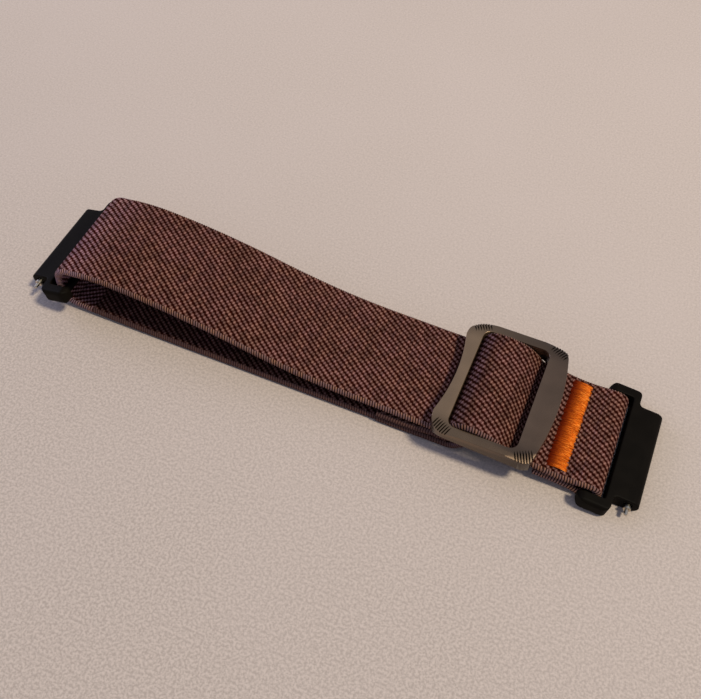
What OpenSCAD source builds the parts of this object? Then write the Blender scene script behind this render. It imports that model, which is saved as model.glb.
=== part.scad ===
// Elastic watch strap with a sliding buckle and two lug adapters.
// One woven band is doubled between the buckle and the left adapter.
// Its free end is sewn round the buckle's centre bar, its other end round the right adapter's ring bar.
// X runs along the strap, Y across it and Z up. The origin is on the table, under the middle of the strap.

/* [Strap] */
// Length from the outer edge of one adapter to the outer edge of the other, at the shortest setting
overall_l = 124.9; // [118:0.1:150]
// Height of the middle of the band at the top of its arch
arch_z = 12.2; // [10.6:0.1:14]

/* [Webbing] */
// Width of the woven band
webbing_w = 21.8; // [18:0.1:24]
// Thickness of the woven band
webbing_t = 1.55; // [1.3:0.05:1.7]
// Gap between layers of the band that lie on each other
layer_gap = 0.05; // [0.02:0.01:0.1]
// Gap beside the band where it runs through the buckle and the rings
side_gap = 0.4; // [0.2:0.05:0.5]

/* [Stitching] */
// Width of the satin bartack along the strap
bartack_l = 3.8; // [2.5:0.1:5]
// How far the bartack stops short of each edge of the band
bartack_margin = 1.3; // [0.6:0.1:3]
// Height of the satin thread above the band
bartack_h = 0.45; // [0.2:0.05:0.6]
// Height of the thread on the underside and on the loop seam
seam_h = 0.25; // [0.15:0.05:0.35]
// Distance from the right ring bar to the bartack
bartack_from_ring = 4.3; // [3.5:0.1:6]
// Gap between the bartack and the single run of band under the buckle
bartack_clear = 0.3; // [0.2:0.1:0.8]
// How far the folded end of the band runs on beyond the bartack
fold_end_l = 1.7; // [0.8:0.1:2.4]
// How far the sewn layers of the right end lie below the band under the buckle
stack_drop = 0.85; // [0.6:0.05:1]
// Width of the seam that closes the loop round the centre bar
loop_seam_l = 2.6; // [1.5:0.1:4]
// Distance from the buckle to that seam
loop_seam_gap = 5; // [4.5:0.1:6]
// How far the sewn end of the loop runs on beyond the buckle
tail_l = 10.1; // [9.5:0.1:12]

/* [Buckle] */
// Size of the buckle frame along the strap
buckle_l = 20.6; // [18:0.1:24]
// Thickness of the buckle frame
buckle_t = 3.2; // [2.4:0.1:3.6]
// Width of each side rail
rail_w = 1.8; // [1.6:0.1:3]
// How far up its side each rail is cut away underneath, half-way along the frame
under_cut = 0.8; // [0.4:0.05:1]
// Slope of that cut across the rail
under_slope = 53; // [48:1:60]
// Fall of that cut along the rail, from the left bar to the right bar
under_taper = 4.7; // [2:0.1:5.5]
// Width of the flat right bar
right_bar_w = 4.6; // [3:0.1:5]
// How far the outer edge of the right bar bows out
right_bow = 0.9; // [0.5:0.1:1.1]
// Width of the left bar at its ends
left_bar_w = 3.1; // [2.4:0.1:4]
// Depth of the waist in the outer edge of the left bar
waist_depth = 1.1; // [0.4:0.1:1.6]
// Span of the waist across the strap
waist_span = 18; // [10:0.5:20]
// Radius of the outer corners of the frame
corner_r = 3.6; // [2.5:0.1:5]
// Radius of the corners of the window
window_r = 1.6; // [0.8:0.1:2.5]
// Chamfer on the lower inner edge of the left bar, where the band bends round it
edge_chamfer = 0.25; // [0.1:0.05:0.5]
// Space left under the buckle above the three layers of band
buckle_lift = 0.75; // [0.5:0.05:1.5]
// Gap between the buckle and the bartack
buckle_to_bartack = 1; // [0.8:0.1:3]
// Direction of each knurled corner facet, from the X axis
facet_turn = 64; // [40:1:80]
// How much farther the facets beside the right bar sit from the frame's edge
facet_back = 0.6; // [0.2:0.1:0.9]
// How far each knurled corner facet reaches in from the corner
facet_in = 1.3; // [0.6:0.1:1.6]
// How far each knurled corner facet reaches down
facet_down = 0.5; // [0.3:0.1:1.2]
// Number of grooves in each corner facet
groove_n = 9; // [5:2:11]
// Spacing of the grooves
groove_pitch = 0.45; // [0.35:0.05:0.6]
// Side of each square groove cutter
groove_w = 0.3; // [0.1:0.02:0.3]

/* [Centre bar] */
// Width of the flat centre bar
centre_bar_w = 2; // [1.6:0.1:2.4]
// Thickness of the centre bar
centre_bar_t = 0.88; // [0.7:0.02:1.1]
// Depth of the pocket in each rail that holds the bar
pocket_d = 0.8; // [0.5:0.1:0.9]
// Bend radius of the band where it dives under the left bar
dive_r = 2.5; // [2.45:0.05:3]
// Angle round the sewn loop at which the band above meets it
hump_turn = 74; // [70:1:80]
// How far beside the window the band's hump starts under the right bar
hump_in = 2.3; // [1.8:0.1:3]
// How far inside the frame's edge the band's hump ends under the left bar
hump_out = 0.5; // [0.3:0.1:1.2]

/* [Adapters] */
// Width of the adapter block between the lugs
block_w = 19.8; // [17.5:0.1:21]
// Thickness of the adapter
adapter_t = 3.2; // [2.8:0.1:4]
// Radius of the ring bar that the band turns round
ring_bar_r = 0.75; // [0.6:0.05:0.9]
// Distance from the ring bar to the wall of the slot
slot_reach = 3.3; // [3.1:0.1:4]
// Distance from the ring bar to the outer edge of the block
block_reach = 9.5; // [8.6:0.1:11]
// How far the ring arms run past the wall of the slot
arm_overlap = 1.3; // [0.6:0.1:2]
// Width of each ring arm
arm_w = 2.1; // [1.6:0.1:3]
// Outer corner radius of the ring arms
arm_r = 2.1; // [1:0.1:2.1]
// Corner radius of the block
block_r = 0.8; // [0.3:0.1:1.2]
// Gap between the ring bar and the band that turns round it
bar_gap = 0.05; // [0.03:0.01:0.1]

/* [Left end] */
// Height of the left ring bar
left_ring_z = 5.8; // [5.2:0.1:6.4]
// Angle by which the left adapter hangs down
left_tilt = 14; // [8:1:18]
// Height of the middle of the band where it leaves the top of the turn
turn_top_z = 11.4; // [10.4:0.1:12]
// Height of the middle of the band under the turn
turn_bottom_z = 1.575; // [1.2:0.025:2]
// Bend radius at the top of the turn
turn_top_r = 3.6; // [3:0.1:4]
// Bend radius at the bottom of the turn
turn_bottom_r = 2.6; // [2:0.1:3]
// How far the turned stretch of the band reaches past the ring bar
turn_reach = 4.75; // [4.4:0.05:5.4]

/* [Spring bars] */
// Distance from the outer edge of the block to the spring bar
bar_from_edge = 1.9; // [1.7:0.05:2.2]
// Outer radius of the barrel
barrel_r = 0.9; // [0.85:0.05:0.95]
// Wall of the barrel
barrel_wall = 0.2; // [0.15:0.01:0.25]
// How much shorter the barrel is than the block, at each end
barrel_short = 1.65; // [1.2:0.05:2]
// How far each spring bar sits off the middle of its block, towards the near side
bar_shift = 0.95; // [0:0.05:0.95]
// Radial gap between barrel and block
bore_gap = 0.05; // [0.02:0.01:0.1]
// Radius of the lug tips
tip_r = 0.35; // [0.3:0.05:0.35]
// Radius of the neck of each tip, where it runs through the lip of the barrel
neck_r = 0.52; // [0.52:0.01:0.55]
// Length of each lug tip beyond its shoulder
tip_l = 1.15; // [0.8:0.05:1.4]
// Thickness of the shoulder on each tip
shoulder_l = 0.4; // [0.3:0.05:0.6]
// Radius of the shoulder on each tip
shoulder_r = 0.7; // [0.55:0.05:0.75]
// Travel of each tip into the barrel
tip_travel = 1.1; // [0.6:0.05:1.1]
// Radial running gap of the tips in the barrel
tip_gap = 0.04; // [0.02:0.01:0.08]
// Length of each tip's stem inside the barrel
stem_l = 1.5; // [1:0.1:2]
// Length of the crimped lip at each end of the barrel
lip_l = 0.3; // [0.2:0.05:0.5]
// Radius of the coil spring's wire
wire_r = 0.1; // [0.08:0.01:0.12]
// Number of turns in the coil spring
coil_turns = 16; // [10:1:18]

/* [Hidden] */
$fn = 64;
eps = 0.01;
band_colour = [0.30, 0.17, 0.16];
satin_colour = [0.90, 0.45, 0.08];
frame_colour = [0.36, 0.34, 0.31];
plastic_colour = [0.07, 0.07, 0.07];
steel_colour = [0.75, 0.75, 0.76];

// Half thicknesses and the step from the middle of one layer to the middle of the next
half_t = webbing_t / 2;
layer_step = webbing_t + layer_gap;
nose_r = adapter_t / 2;
nose_reach = block_reach - nose_r;

// Right end: the band's turn round the ring bar rests on the table, and so does the block's nose
wrap_r = ring_bar_r + bar_gap + half_t;
right_ring_z = wrap_r + half_t;
right_tilt = asin((right_ring_z - nose_r) / nose_reach);
right_ring_x = overall_l / 2 - nose_r - nose_reach * cos(right_tilt);
left_ring_x = -overall_l / 2 + nose_r + nose_reach * cos(left_tilt);

// Buckle: its place follows from the bartack, and its height from three layers of band
bartack_x1 = right_ring_x - bartack_from_ring;
bartack_x0 = bartack_x1 - bartack_l;
frame_x1 = bartack_x0 - buckle_to_bartack;
frame_x0 = frame_x1 - buckle_l;
window_x1 = frame_x1 - right_bar_w;
window_x0 = frame_x0 + left_bar_w;
window_w = webbing_w + 2 * side_gap;
buckle_w = window_w + 2 * rail_w;
frame_z0 = 3 * webbing_t + buckle_lift;
frame_z1 = frame_z0 + buckle_t;

// Heights of the middle of the band through the buckle
pass_z = frame_z0 - layer_gap - half_t;
centre_bar_z0 = frame_z0 + layer_gap;
centre_bar_z1 = centre_bar_z0 + centre_bar_t;
tail_crest_z = centre_bar_z1 + layer_gap + half_t;
crest_z = tail_crest_z + layer_step;

// The band bends round the lower inner edge of the left bar, and the sewn tail follows it inside
edge_r = half_t + layer_gap + edge_chamfer;
edge_c = [window_x0 - edge_chamfer, frame_z0 + edge_chamfer];
tail_edge_r = edge_r + layer_step;
dive_x = edge_c[0] + edge_r + dive_r;
dive_z = crest_z - dive_r;
tail_dive_r = dive_r - layer_step;
centre_bar_x0 = dive_x - tail_dive_r + half_t + 2 * layer_gap;
centre_bar_x1 = centre_bar_x0 + centre_bar_w;
bar_end_r = centre_bar_t / 2;
loop_r = bar_end_r + layer_gap + half_t;
loop_c = [centre_bar_x1 - bar_end_r, (centre_bar_z0 + centre_bar_z1) / 2];

// Where one stretch of the band ends and the next begins
single_x1 = bartack_x0 - bartack_clear;
single_x0 = window_x1 + hump_in;
hump_x0 = frame_x0 + hump_out;
tail_end_x = frame_x0 - tail_l;
turn_cut_x = left_ring_x + turn_reach;
turn_x = left_ring_x - ring_bar_r - 2 * bar_gap - half_t;

// Points on an arc
function arc(c, r, a0, a1, n) =
    [for (i = [0:n]) let (a = a0 + (a1 - a0) * i / n) [c[0] + r * cos(a), c[1] + r * sin(a)]];

// A point a share of the way between two values
function mix(a, b, t) = a + (b - a) * t;

// Middle line of the band, stretch by stretch, from its end under the bartack to its end under the buckle.
// The last point of each stretch is the first of the next.
stack_z = pass_z - stack_drop;
fold_pts = concat(
    [
        [bartack_x0 - fold_end_l, stack_z - layer_step + 0.25],
        [bartack_x0, stack_z - layer_step + 0.1],
        [bartack_x1 - 1.5, stack_z - layer_step],
        [bartack_x1 + 1, mix(half_t, stack_z - layer_step, 0.75)]
    ],
    arc([right_ring_x, right_ring_z], wrap_r, -90, 90, 8),
    [
        [bartack_x1 + 2.2, mix(stack_z, right_ring_z + wrap_r, 0.5)],
        [bartack_x1 + 0.2, stack_z],
        [bartack_x1 - 2, stack_z + 0.06],
        [single_x1, mix(stack_z, pass_z, 0.42)]
    ]
);
single_pts = [[single_x1 - 1.6, pass_z - 0.17], [single_x0, pass_z]];
hump_r = loop_r + layer_step;
hump_edge = loop_c + hump_r * [cos(hump_turn), sin(hump_turn)];
hump_foot = [window_x1 - 0.1, pass_z];
hump_pts = concat(
    [hump_foot],
    [for (p = [[0.14, 0.1], [0.33, 0.45], [0.64, 0.84]])
        [mix(hump_foot[0], hump_edge[0], p[0]), mix(hump_foot[1], hump_edge[1], p[1])]],
    arc(loop_c, hump_r, hump_turn, 90, 2),
    arc([dive_x, dive_z], dive_r, 90, 180, 5),
    arc(edge_c, edge_r, 0, -90, 4),
    [[hump_x0, pass_z]]
);
arch_rise = arch_z - pass_z;
arch_shape = [
    [0.13, 0.03], [0.26, 0.07], [0.38, 0.18], [0.5, 0.38], [0.62, 0.635],
    [0.75, 0.85], [0.86, 0.965], [0.935, 1], [1, 0.955]
];
upper_pts = [for (p = arch_shape) [mix(hump_x0, turn_cut_x, p[0]), pass_z + arch_rise * p[1]]];
turn_pts = concat(
    arc([turn_x + turn_top_r, turn_top_z - turn_top_r], turn_top_r, 90, 180, 6),
    arc([turn_x + turn_bottom_r, turn_bottom_z + turn_bottom_r], turn_bottom_r, 180, 270, 5),
    [[turn_cut_x, mix(half_t, turn_bottom_z, 0.65)]]
);
lower_pts = concat(
    [for (p = [[0.1, 0.3], [0.21, 0.07], [0.31, 0], [0.6, 0], [1, 0]])
        [mix(turn_cut_x, tail_end_x, p[0]), mix(half_t, turn_bottom_z, p[1])]]
);
loop_pts = concat(
    [
        [mix(tail_end_x, window_x0, 0.6), half_t],
        [window_x0 - 0.3, half_t],
        [window_x0 + 0.3, half_t],
        [window_x0 + 0.9, half_t + 0.05]
    ],
    [for (k = [0:2])
        mix([window_x0 + 1.8, half_t + 0.35], loop_c + loop_r * [cos(-45), sin(-45)] - [0.9, 0.9], k / 2)],
    arc(loop_c, loop_r, -45, 90, 6),
    arc([dive_x, dive_z], tail_dive_r, 90, 180, 4),
    arc(edge_c, tail_edge_r, 0, -90, 6),
    [
        [frame_x0 + 0.9, edge_c[1] - tail_edge_r],
        [frame_x0 - 2.6, half_t + layer_step + 0.08],
        [frame_x0 - 4.2, half_t + layer_step],
        [tail_end_x, half_t + layer_step]
    ]
);
route = concat(fold_pts, single_pts, hump_pts, upper_pts, turn_pts, lower_pts, loop_pts);

// Places in the route where the stretches meet
i_single = len(fold_pts) - 1;
i_hump = i_single + len(single_pts);
i_upper = i_hump + len(hump_pts);
i_turn = i_upper + len(upper_pts);
i_lower = i_turn + len(turn_pts);
i_loop = i_lower + len(lower_pts);
i_end = len(route) - 1;

// A smooth curve through the route, with some points between each pair
steps = 3;
function slope_at(p, i) =
    i == 0 ? (p[1] - p[0]) / norm(p[1] - p[0]) :
    i == len(p) - 1 ? (p[i] - p[i - 1]) / norm(p[i] - p[i - 1]) :
    let (a = norm(p[i] - p[i - 1]), b = norm(p[i + 1] - p[i]))
    ((p[i] - p[i - 1]) * b / a + (p[i + 1] - p[i]) * a / b) / (a + b);
function between(p, i, t) =
    let (d = norm(p[i + 1] - p[i]), m0 = slope_at(p, i) * d, m1 = slope_at(p, i + 1) * d, u = 1 - t)
    p[i] * (1 + 2 * t) * u * u + m0 * t * u * u + p[i + 1] * t * t * (3 - 2 * t) - m1 * t * t * u;
middle = concat(
    [for (i = [0:len(route) - 2], k = [0:steps - 1]) between(route, i, k / steps)],
    [route[len(route) - 1]]
);
function side(i) =
    let (a = middle[max(i - 1, 0)], b = middle[min(i + 1, len(middle) - 1)], d = (b - a) / norm(b - a))
    [-d[1], d[0]];
sides = [for (i = [0:len(middle) - 1]) side(i)];

// A layer of the band between two places in the route, from one offset to another off the middle line
module layer(i0, i1, w, lo, hi) {
    outline = concat(
        [for (i = [i0:i1]) middle[i] + sides[i] * lo],
        [for (i = [i1:-1:i0]) middle[i] + sides[i] * hi]
    );
    translate([0, w / 2, 0]) rotate([90, 0, 0]) linear_extrude(w) polygon(outline);
}

module band(i0, i1) {
    color(band_colour) layer(i0 * steps, i1 * steps, webbing_w, -half_t, half_t);
}

module end_fold() {
    band(0, i_single);
}

module single_run() {
    band(i_single, i_hump);
}

module buckle_hump() {
    band(i_hump, i_upper);
}

module upper_run() {
    band(i_upper, i_turn);
}

module left_turn() {
    band(i_turn, i_lower);
}

module lower_run() {
    band(i_lower, i_loop);
}

module sewn_loop() {
    band(i_loop, i_end);
}

// Thread that stands on one face of the band and is cut to a stretch of the strap
module thread(i0, i1, x0, x1, lo, hi) {
    intersection() {
        layer(i0 * steps, i1 * steps, webbing_w - 2 * bartack_margin, lo, hi);
        translate([x0, -webbing_w / 2, 0]) cube([x1 - x0, webbing_w, arch_z]);
    }
}

module orange_bartack() {
    color(satin_colour) {
        thread(len(fold_pts) - 5, i_single + 1, bartack_x0, bartack_x1, -half_t - bartack_h, -half_t);
        thread(0, 4, bartack_x0, bartack_x1, -half_t - seam_h, -half_t);
    }
}

module loop_stitching() {
    seam_x1 = frame_x0 - loop_seam_gap;
    color(band_colour)
        thread(i_end - 1, i_end, seam_x1 - loop_seam_l, seam_x1, -half_t - seam_h, -half_t);
}

// A rectangle from x0 to x1, centred on the X axis, with rounded corners
module rounded(x0, x1, w, r) {
    translate([x0 + r, -w / 2]) square([x1 - x0 - 2 * r, w]);
    translate([x0, -w / 2 + r]) square([x1 - x0, w - 2 * r]);
    for (x = [x0 + r, x1 - r], y = [-w / 2 + r, w / 2 - r])
        translate([x, y]) circle(r);
}

// One knurled facet: a sloping cut with grooves down the slope, at the origin, facing +X
module facet_cut() {
    translate([corner_r - facet_in, 0, frame_z1]) rotate([0, atan(facet_down / facet_in), 0]) {
        translate([-corner_r, -corner_r, 0]) cube([3 * corner_r, 2 * corner_r, 2 * corner_r]);
        for (k = [-(groove_n - 1) / 2:(groove_n - 1) / 2])
            translate([0, k * groove_pitch, 0]) rotate([45, 0, 0])
                cube([2 * corner_r, groove_w, groove_w], center = true);
    }
}

module buckle_frame() {
    waist_r = (waist_span * waist_span / 4 + waist_depth * waist_depth) / (2 * waist_depth);
    bow_half = buckle_w / 2 - corner_r;
    bow_r = (bow_half * bow_half + right_bow * right_bow) / (2 * right_bow);
    color(frame_colour) difference() {
        translate([0, 0, frame_z0]) linear_extrude(buckle_t) difference() {
            intersection() {
                rounded(frame_x0, frame_x1, buckle_w, corner_r);
                translate([frame_x1 - bow_r, 0]) circle(bow_r, $fn = 180);
            }
            rounded(window_x0, window_x1, window_w, window_r);
            translate([frame_x0 + waist_depth - waist_r, 0]) circle(waist_r, $fn = 180);
        }
        for (y = [-1, 1])
            translate([(frame_x0 + frame_x1) / 2, y * buckle_w / 2, frame_z0 + under_cut])
                rotate([0, under_taper, 0]) rotate([y * under_slope, 0, 0])
                    translate([-buckle_l, -buckle_t, -2 * buckle_t]) cube([2 * buckle_l, 3 * buckle_t, 2 * buckle_t]);
        for (x = [frame_x0 + corner_r, frame_x1 - corner_r - facet_back], y = [-1, 1])
            translate([x, y * (buckle_w / 2 - corner_r), 0])
                rotate([0, 0, y * (x < window_x0 + corner_r ? 180 - facet_turn : facet_turn)]) facet_cut();
        translate([window_x0, 0, frame_z0]) rotate([0, 45, 0])
            cube([edge_chamfer * sqrt(2), window_w, edge_chamfer * sqrt(2)], center = true);
        centre_bar_solid();
    }
}

// The centre bar: flat, with rounded edges, its ends in the pockets of the two rails
module centre_bar_solid() {
    bar_l = window_w + 2 * pocket_d;
    translate([0, bar_l / 2, 0]) rotate([90, 0, 0]) linear_extrude(bar_l) {
        translate([centre_bar_x0 + bar_end_r, centre_bar_z0])
            square([centre_bar_w - 2 * bar_end_r, centre_bar_t]);
        for (x = [centre_bar_x0 + bar_end_r, centre_bar_x1 - bar_end_r])
            translate([x, centre_bar_z0 + bar_end_r]) circle(bar_end_r);
    }
}

module centre_bar() {
    color(frame_colour) centre_bar_solid();
}

// Places a thing modelled with the ring bar at the origin and the block towards +X
module at_right() {
    translate([right_ring_x, 0, right_ring_z]) rotate([0, right_tilt, 0]) children();
}

module at_left() {
    translate([left_ring_x, 0, left_ring_z]) rotate([0, -left_tilt, 0]) rotate([0, 0, 180]) children();
}

bar_x = block_reach - bar_from_edge;
barrel_half = block_w / 2 - barrel_short;
ring_w = window_w + 2 * arm_w;

module adapter() {
    color(plastic_colour) {
        difference() {
            intersection() {
                translate([0, 0, -nose_r]) linear_extrude(adapter_t) union() {
                    rounded(-nose_r, slot_reach + arm_overlap, ring_w, arm_r);
                    rounded(slot_reach, block_reach, block_w, block_r);
                }
                rotate([90, 0, 0]) linear_extrude(ring_w, center = true) {
                    circle(nose_r);
                    translate([0, -nose_r]) square([nose_reach, adapter_t]);
                    translate([nose_reach, 0]) circle(nose_r);
                }
            }
            translate([-nose_r - eps, -window_w / 2, -nose_r - eps])
                cube([nose_r + slot_reach + eps, window_w, adapter_t + 2 * eps]);
            translate([bar_x, 0, 0]) rotate([90, 0, 0])
                cylinder(r = barrel_r + bore_gap, h = ring_w, center = true);
        }
        rotate([90, 0, 0]) cylinder(r = ring_bar_r, h = window_w + 1, center = true);
    }
}

// Turns a profile of radius and length about the spring bar's axis
module turned(profile) {
    translate([bar_x, 0, 0]) rotate([-90, 0, 0]) rotate_extrude() polygon(profile);
}

module barrel() {
    lip_r = neck_r + tip_gap;
    bore_r = barrel_r - barrel_wall;
    color(steel_colour) turned([
        [lip_r, -barrel_half], [barrel_r, -barrel_half], [barrel_r, barrel_half], [lip_r, barrel_half],
        [lip_r, barrel_half - lip_l], [bore_r, barrel_half - lip_l],
        [bore_r, lip_l - barrel_half], [lip_r, lip_l - barrel_half]
    ]);
}

// The stem stops against the crimped lip, and the shoulder stands off the barrel by the travel
stem_y1 = barrel_half - lip_l - tip_gap;
stem_y0 = stem_y1 - stem_l;
shoulder_y0 = barrel_half + tip_travel + tip_gap;
shoulder_y1 = shoulder_y0 + shoulder_l;
tip_y = shoulder_y1 + tip_l;

module tip() {
    stem_r = barrel_r - barrel_wall - tip_gap;
    nose = tip_r * 0.4;
    color(steel_colour) turned([
        [0, stem_y0], [stem_r, stem_y0], [stem_r, stem_y1], [neck_r, stem_y1], [neck_r, shoulder_y0],
        [shoulder_r, shoulder_y0], [shoulder_r, shoulder_y1], [tip_r, shoulder_y1],
        [tip_r, tip_y - nose], [tip_r - nose, tip_y], [0, tip_y]
    ]);
}

// The coil spring is one tube swept along a helix between the two stems
module coil() {
    rings = 8;
    wire_sides = 6;
    coil_r = barrel_r - barrel_wall - wire_r - 1.5 * tip_gap;
    reach = stem_y0 - wire_r - tip_gap;
    last = coil_turns * rings;
    points = [
        for (i = [0:last], k = [0:wire_sides - 1])
            let (a = 360 * i / rings, b = 360 * k / wire_sides, r = coil_r + wire_r * cos(b))
            [bar_x + r * cos(a), mix(-reach, reach, i / last) + wire_r * sin(b), r * sin(a)]
    ];
    skin = [
        for (i = [0:last - 1], k = [0:wire_sides - 1], h = [0, 1])
            let (
                a = i * wire_sides + k, b = i * wire_sides + (k + 1) % wire_sides,
                c = a + wire_sides, d = b + wire_sides
            )
            h == 0 ? [a, b, c] : [b, d, c]
    ];
    caps = concat(
        [for (k = [1:wire_sides - 2]) [0, k + 1, k]],
        [for (k = [1:wire_sides - 2]) [for (j = [0, k, k + 1]) last * wire_sides + j]]
    );
    color(steel_colour) polyhedron(points, concat(skin, caps));
}

module right_adapter() {
    at_right() adapter();
}

// Places a spring bar off the middle of its right or left block, towards the near side
module right_bar() {
    at_right() translate([0, -bar_shift, 0]) children();
}

module left_bar() {
    at_left() translate([0, bar_shift, 0]) children();
}

module right_bar_barrel() {
    right_bar() barrel();
}

module right_bar_spring() {
    right_bar() coil();
}

module right_bar_near_tip() {
    right_bar() mirror([0, 1, 0]) tip();
}

module right_bar_far_tip() {
    right_bar() tip();
}

module left_adapter() {
    at_left() adapter();
}

module left_bar_barrel() {
    left_bar() barrel();
}

module left_bar_spring() {
    left_bar() coil();
}

module left_bar_near_tip() {
    left_bar() tip();
}

module left_bar_far_tip() {
    left_bar() mirror([0, 1, 0]) tip();
}

end_fold();
orange_bartack();
single_run();
buckle_frame();
centre_bar();
buckle_hump();
sewn_loop();
loop_stitching();
upper_run();
left_turn();
lower_run();
right_adapter();
right_bar_barrel();
right_bar_spring();
right_bar_near_tip();
right_bar_far_tip();
left_adapter();
left_bar_barrel();
left_bar_spring();
left_bar_near_tip();
left_bar_far_tip();
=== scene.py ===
"""Looks of an elastic watch strap: woven band, bartack, buckle, adapters and spring bars."""
import math
import random

import bpy
import numpy as np
from mathutils import Matrix, Vector


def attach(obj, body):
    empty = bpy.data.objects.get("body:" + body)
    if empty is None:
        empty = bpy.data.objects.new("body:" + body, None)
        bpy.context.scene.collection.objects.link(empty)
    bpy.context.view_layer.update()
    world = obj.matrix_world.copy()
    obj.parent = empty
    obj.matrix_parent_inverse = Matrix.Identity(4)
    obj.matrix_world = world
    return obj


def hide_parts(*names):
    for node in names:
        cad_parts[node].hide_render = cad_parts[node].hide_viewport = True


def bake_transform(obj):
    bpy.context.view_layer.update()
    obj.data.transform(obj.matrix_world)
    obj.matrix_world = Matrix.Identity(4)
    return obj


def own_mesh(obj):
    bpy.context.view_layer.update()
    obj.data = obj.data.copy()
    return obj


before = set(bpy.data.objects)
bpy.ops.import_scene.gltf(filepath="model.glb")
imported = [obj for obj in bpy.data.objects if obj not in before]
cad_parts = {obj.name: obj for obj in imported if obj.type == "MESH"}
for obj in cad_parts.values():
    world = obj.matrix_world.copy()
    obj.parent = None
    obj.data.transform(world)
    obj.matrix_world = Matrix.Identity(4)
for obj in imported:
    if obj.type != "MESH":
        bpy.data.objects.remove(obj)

MM = 0.001
random.seed(20)
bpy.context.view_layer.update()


# Camera

PICTURE_WIDTH = 701
FOCAL_PIXELS = 900.0
SENSOR_MM = 36.0
CAMERA_AT_MM = (40.375, -92.167, 146.374)
CAMERA_HEADING = math.radians(-21.907)
CAMERA_DOWN = math.radians(55.192)
CAMERA_ROLL = math.radians(1.494)
CAMERA_CLIP_M = (0.005, 10)


def make_camera():
    ahead = Vector((
        math.sin(CAMERA_HEADING) * math.cos(CAMERA_DOWN),
        math.cos(CAMERA_HEADING) * math.cos(CAMERA_DOWN),
        -math.sin(CAMERA_DOWN),
    ))
    level = Vector((math.cos(CAMERA_HEADING), -math.sin(CAMERA_HEADING), 0))
    upward = level.cross(ahead)
    right = math.cos(CAMERA_ROLL) * level + math.sin(CAMERA_ROLL) * upward
    up = -math.sin(CAMERA_ROLL) * level + math.cos(CAMERA_ROLL) * upward
    bpy.ops.object.camera_add()
    camera = bpy.context.object
    camera.name = "camera"
    turn = Matrix((right, up, -ahead)).transposed().to_4x4()
    camera.matrix_world = Matrix.Translation(Vector(CAMERA_AT_MM) * MM) @ turn
    camera.data.sensor_width = SENSOR_MM
    camera.data.lens = FOCAL_PIXELS / PICTURE_WIDTH * SENSOR_MM
    camera.data.clip_start, camera.data.clip_end = CAMERA_CLIP_M
    bpy.context.scene.camera = camera


# Modelling by hand

# How near a corner lies to its sought place, and how near two corners are merged, in millimetres
TOUCH = 1e-3
NEAR = 1e-2
MERGE = 0.0005
# Least share of an edge's length along an axis for the edge to run along it.
ALONG_AXIS = 0.8


def object_mode():
    if bpy.context.object and bpy.context.object.mode != "OBJECT":
        bpy.ops.object.mode_set(mode="OBJECT")


def nothing_selected():
    object_mode()
    bpy.ops.object.select_all(action="DESELECT")


def only(piece):
    nothing_selected()
    piece.select_set(True)
    bpy.context.view_layer.objects.active = piece


def edit_all(piece):
    """Goes to edit mode with the whole piece selected."""
    only(piece)
    bpy.ops.object.mode_set(mode="EDIT")
    bpy.ops.mesh.select_all(action="SELECT")


def named(name):
    piece = bpy.context.object
    piece.name = name
    piece.data.name = name
    return piece


def settle(piece):
    only(piece)
    bpy.ops.object.transform_apply(location=True, rotation=True, scale=True)
    return piece


def sheet_of(name, x0, x1, y0, y1, z, columns=1, rows=1):
    """A flat grid between two places, in millimetres."""
    nothing_selected()
    bpy.ops.mesh.primitive_grid_add(x_subdivisions=columns, y_subdivisions=rows, size=1)
    piece = named(name)
    piece.location = ((x0 + x1) / 2 * MM, (y0 + y1) / 2 * MM, z * MM)
    piece.scale = ((x1 - x0) * MM, (y1 - y0) * MM, 1)
    return settle(piece)


def places(mesh):
    """The places of a mesh's corners, in millimetres, one row each."""
    spots = np.empty(len(mesh.vertices) * 3, np.float32)
    mesh.vertices.foreach_get("co", spots)
    return spots.reshape(-1, 3) / MM


def edge_ends(mesh):
    """The numbers of the two corners of each edge."""
    ends = np.empty(len(mesh.edges) * 2, np.int32)
    mesh.edges.foreach_get("vertices", ends)
    return ends.reshape(-1, 2)


def pick_edges(piece, test, axis=None):
    """Selects the edges whose two ends both pass test(x, y, z), in millimetres, and goes to edit mode.

    With an axis, from 0 to 2, only the edges that run along it are selected.
    """
    only(piece)
    mesh = piece.data
    spots = places(mesh)
    ends = edge_ends(mesh)
    a, b = spots[ends[:, 0]], spots[ends[:, 1]]
    chosen = test(*a.T) & test(*b.T)
    if axis is not None:
        run = np.abs(b - a)
        chosen &= run[:, axis] > ALONG_AXIS * np.linalg.norm(run, axis=1)
    corner = np.zeros(len(mesh.vertices), bool)
    corner[ends[chosen].ravel()] = True
    mesh.polygons.foreach_set("select", np.zeros(len(mesh.polygons), bool))
    mesh.edges.foreach_set("select", chosen)
    mesh.vertices.foreach_set("select", corner)
    bpy.ops.object.mode_set(mode="EDIT")
    bpy.ops.mesh.select_mode(type="EDGE")


def move_corners(mesh, spots):
    """Writes the places of a mesh's corners, given in millimetres."""
    mesh.vertices.foreach_set("co", (spots * MM).astype(np.float32).ravel())
    mesh.update()


def extrude_by(x, y, z):
    bpy.ops.mesh.extrude_region_move(TRANSFORM_OT_translate={"value": (x * MM, y * MM, z * MM)})


def bevel_by(size, segments):
    bpy.ops.mesh.bevel(offset=size * MM, offset_type="OFFSET", segments=segments, profile=0.5,
                       affect="EDGES", clamp_overlap=True)


def bevel_sharp(piece, size, segments, degrees):
    only(piece)
    bpy.ops.object.mode_set(mode="EDIT")
    bpy.ops.mesh.select_mode(type="EDGE")
    bpy.ops.mesh.select_all(action="DESELECT")
    bpy.ops.mesh.edges_select_sharp(sharpness=math.radians(degrees))
    bevel_by(size, segments)


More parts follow.
